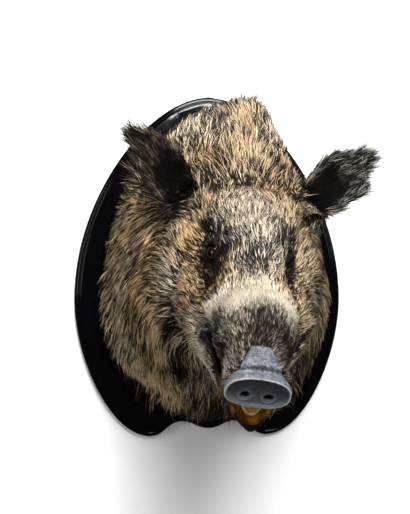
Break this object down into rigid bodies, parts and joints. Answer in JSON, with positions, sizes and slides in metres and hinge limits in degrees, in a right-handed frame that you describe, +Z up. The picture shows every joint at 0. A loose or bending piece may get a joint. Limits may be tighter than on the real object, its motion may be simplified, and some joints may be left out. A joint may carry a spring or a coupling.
{
  "type": "mounted wild boar head",
  "caption": "Life-size taxidermy wild boar head and neck with an open mouth, mounted on an egg-shaped black wall plaque with a scalloped lower edge.",
  "frame": {"origin": "centre of the plaque's back face, which lies against the wall", "axes": "+Y into the wall, +Z up, +X toward the side of the animal's left ear; the snout comes forward along -Y"},
  "size_m": [0.47, 0.5764, 0.596],
  "materials": {
    "lacquer": "gloss black lacquer on a shaped board",
    "coat": "coarse bristles, dark at the root and pale at the tip",
    "muzzle_coat": "short dark bristles with a pale band over the bridge",
    "nose_skin": "dry wrinkled slate-grey skin with a paler rim",
    "mouth": "amber varnished mouth and tongue",
    "ear_coat": "brown-black hair with a fringed edge",
    "eye_glass": "dark brown glass eyes"
  },
  "bodies": {
    "root": {"plaque": "lacquer", "neck": "coat", "head": "coat", "muzzle": "muzzle_coat", "lower_jaw": "muzzle_coat", "snout_disc": "nose_skin", "tongue": "mouth", "ear_left": "ear_coat", "ear_right": "ear_coat", "eye_left": "eye_glass", "eye_right": "eye_glass"}
  },
  "joints": []
}
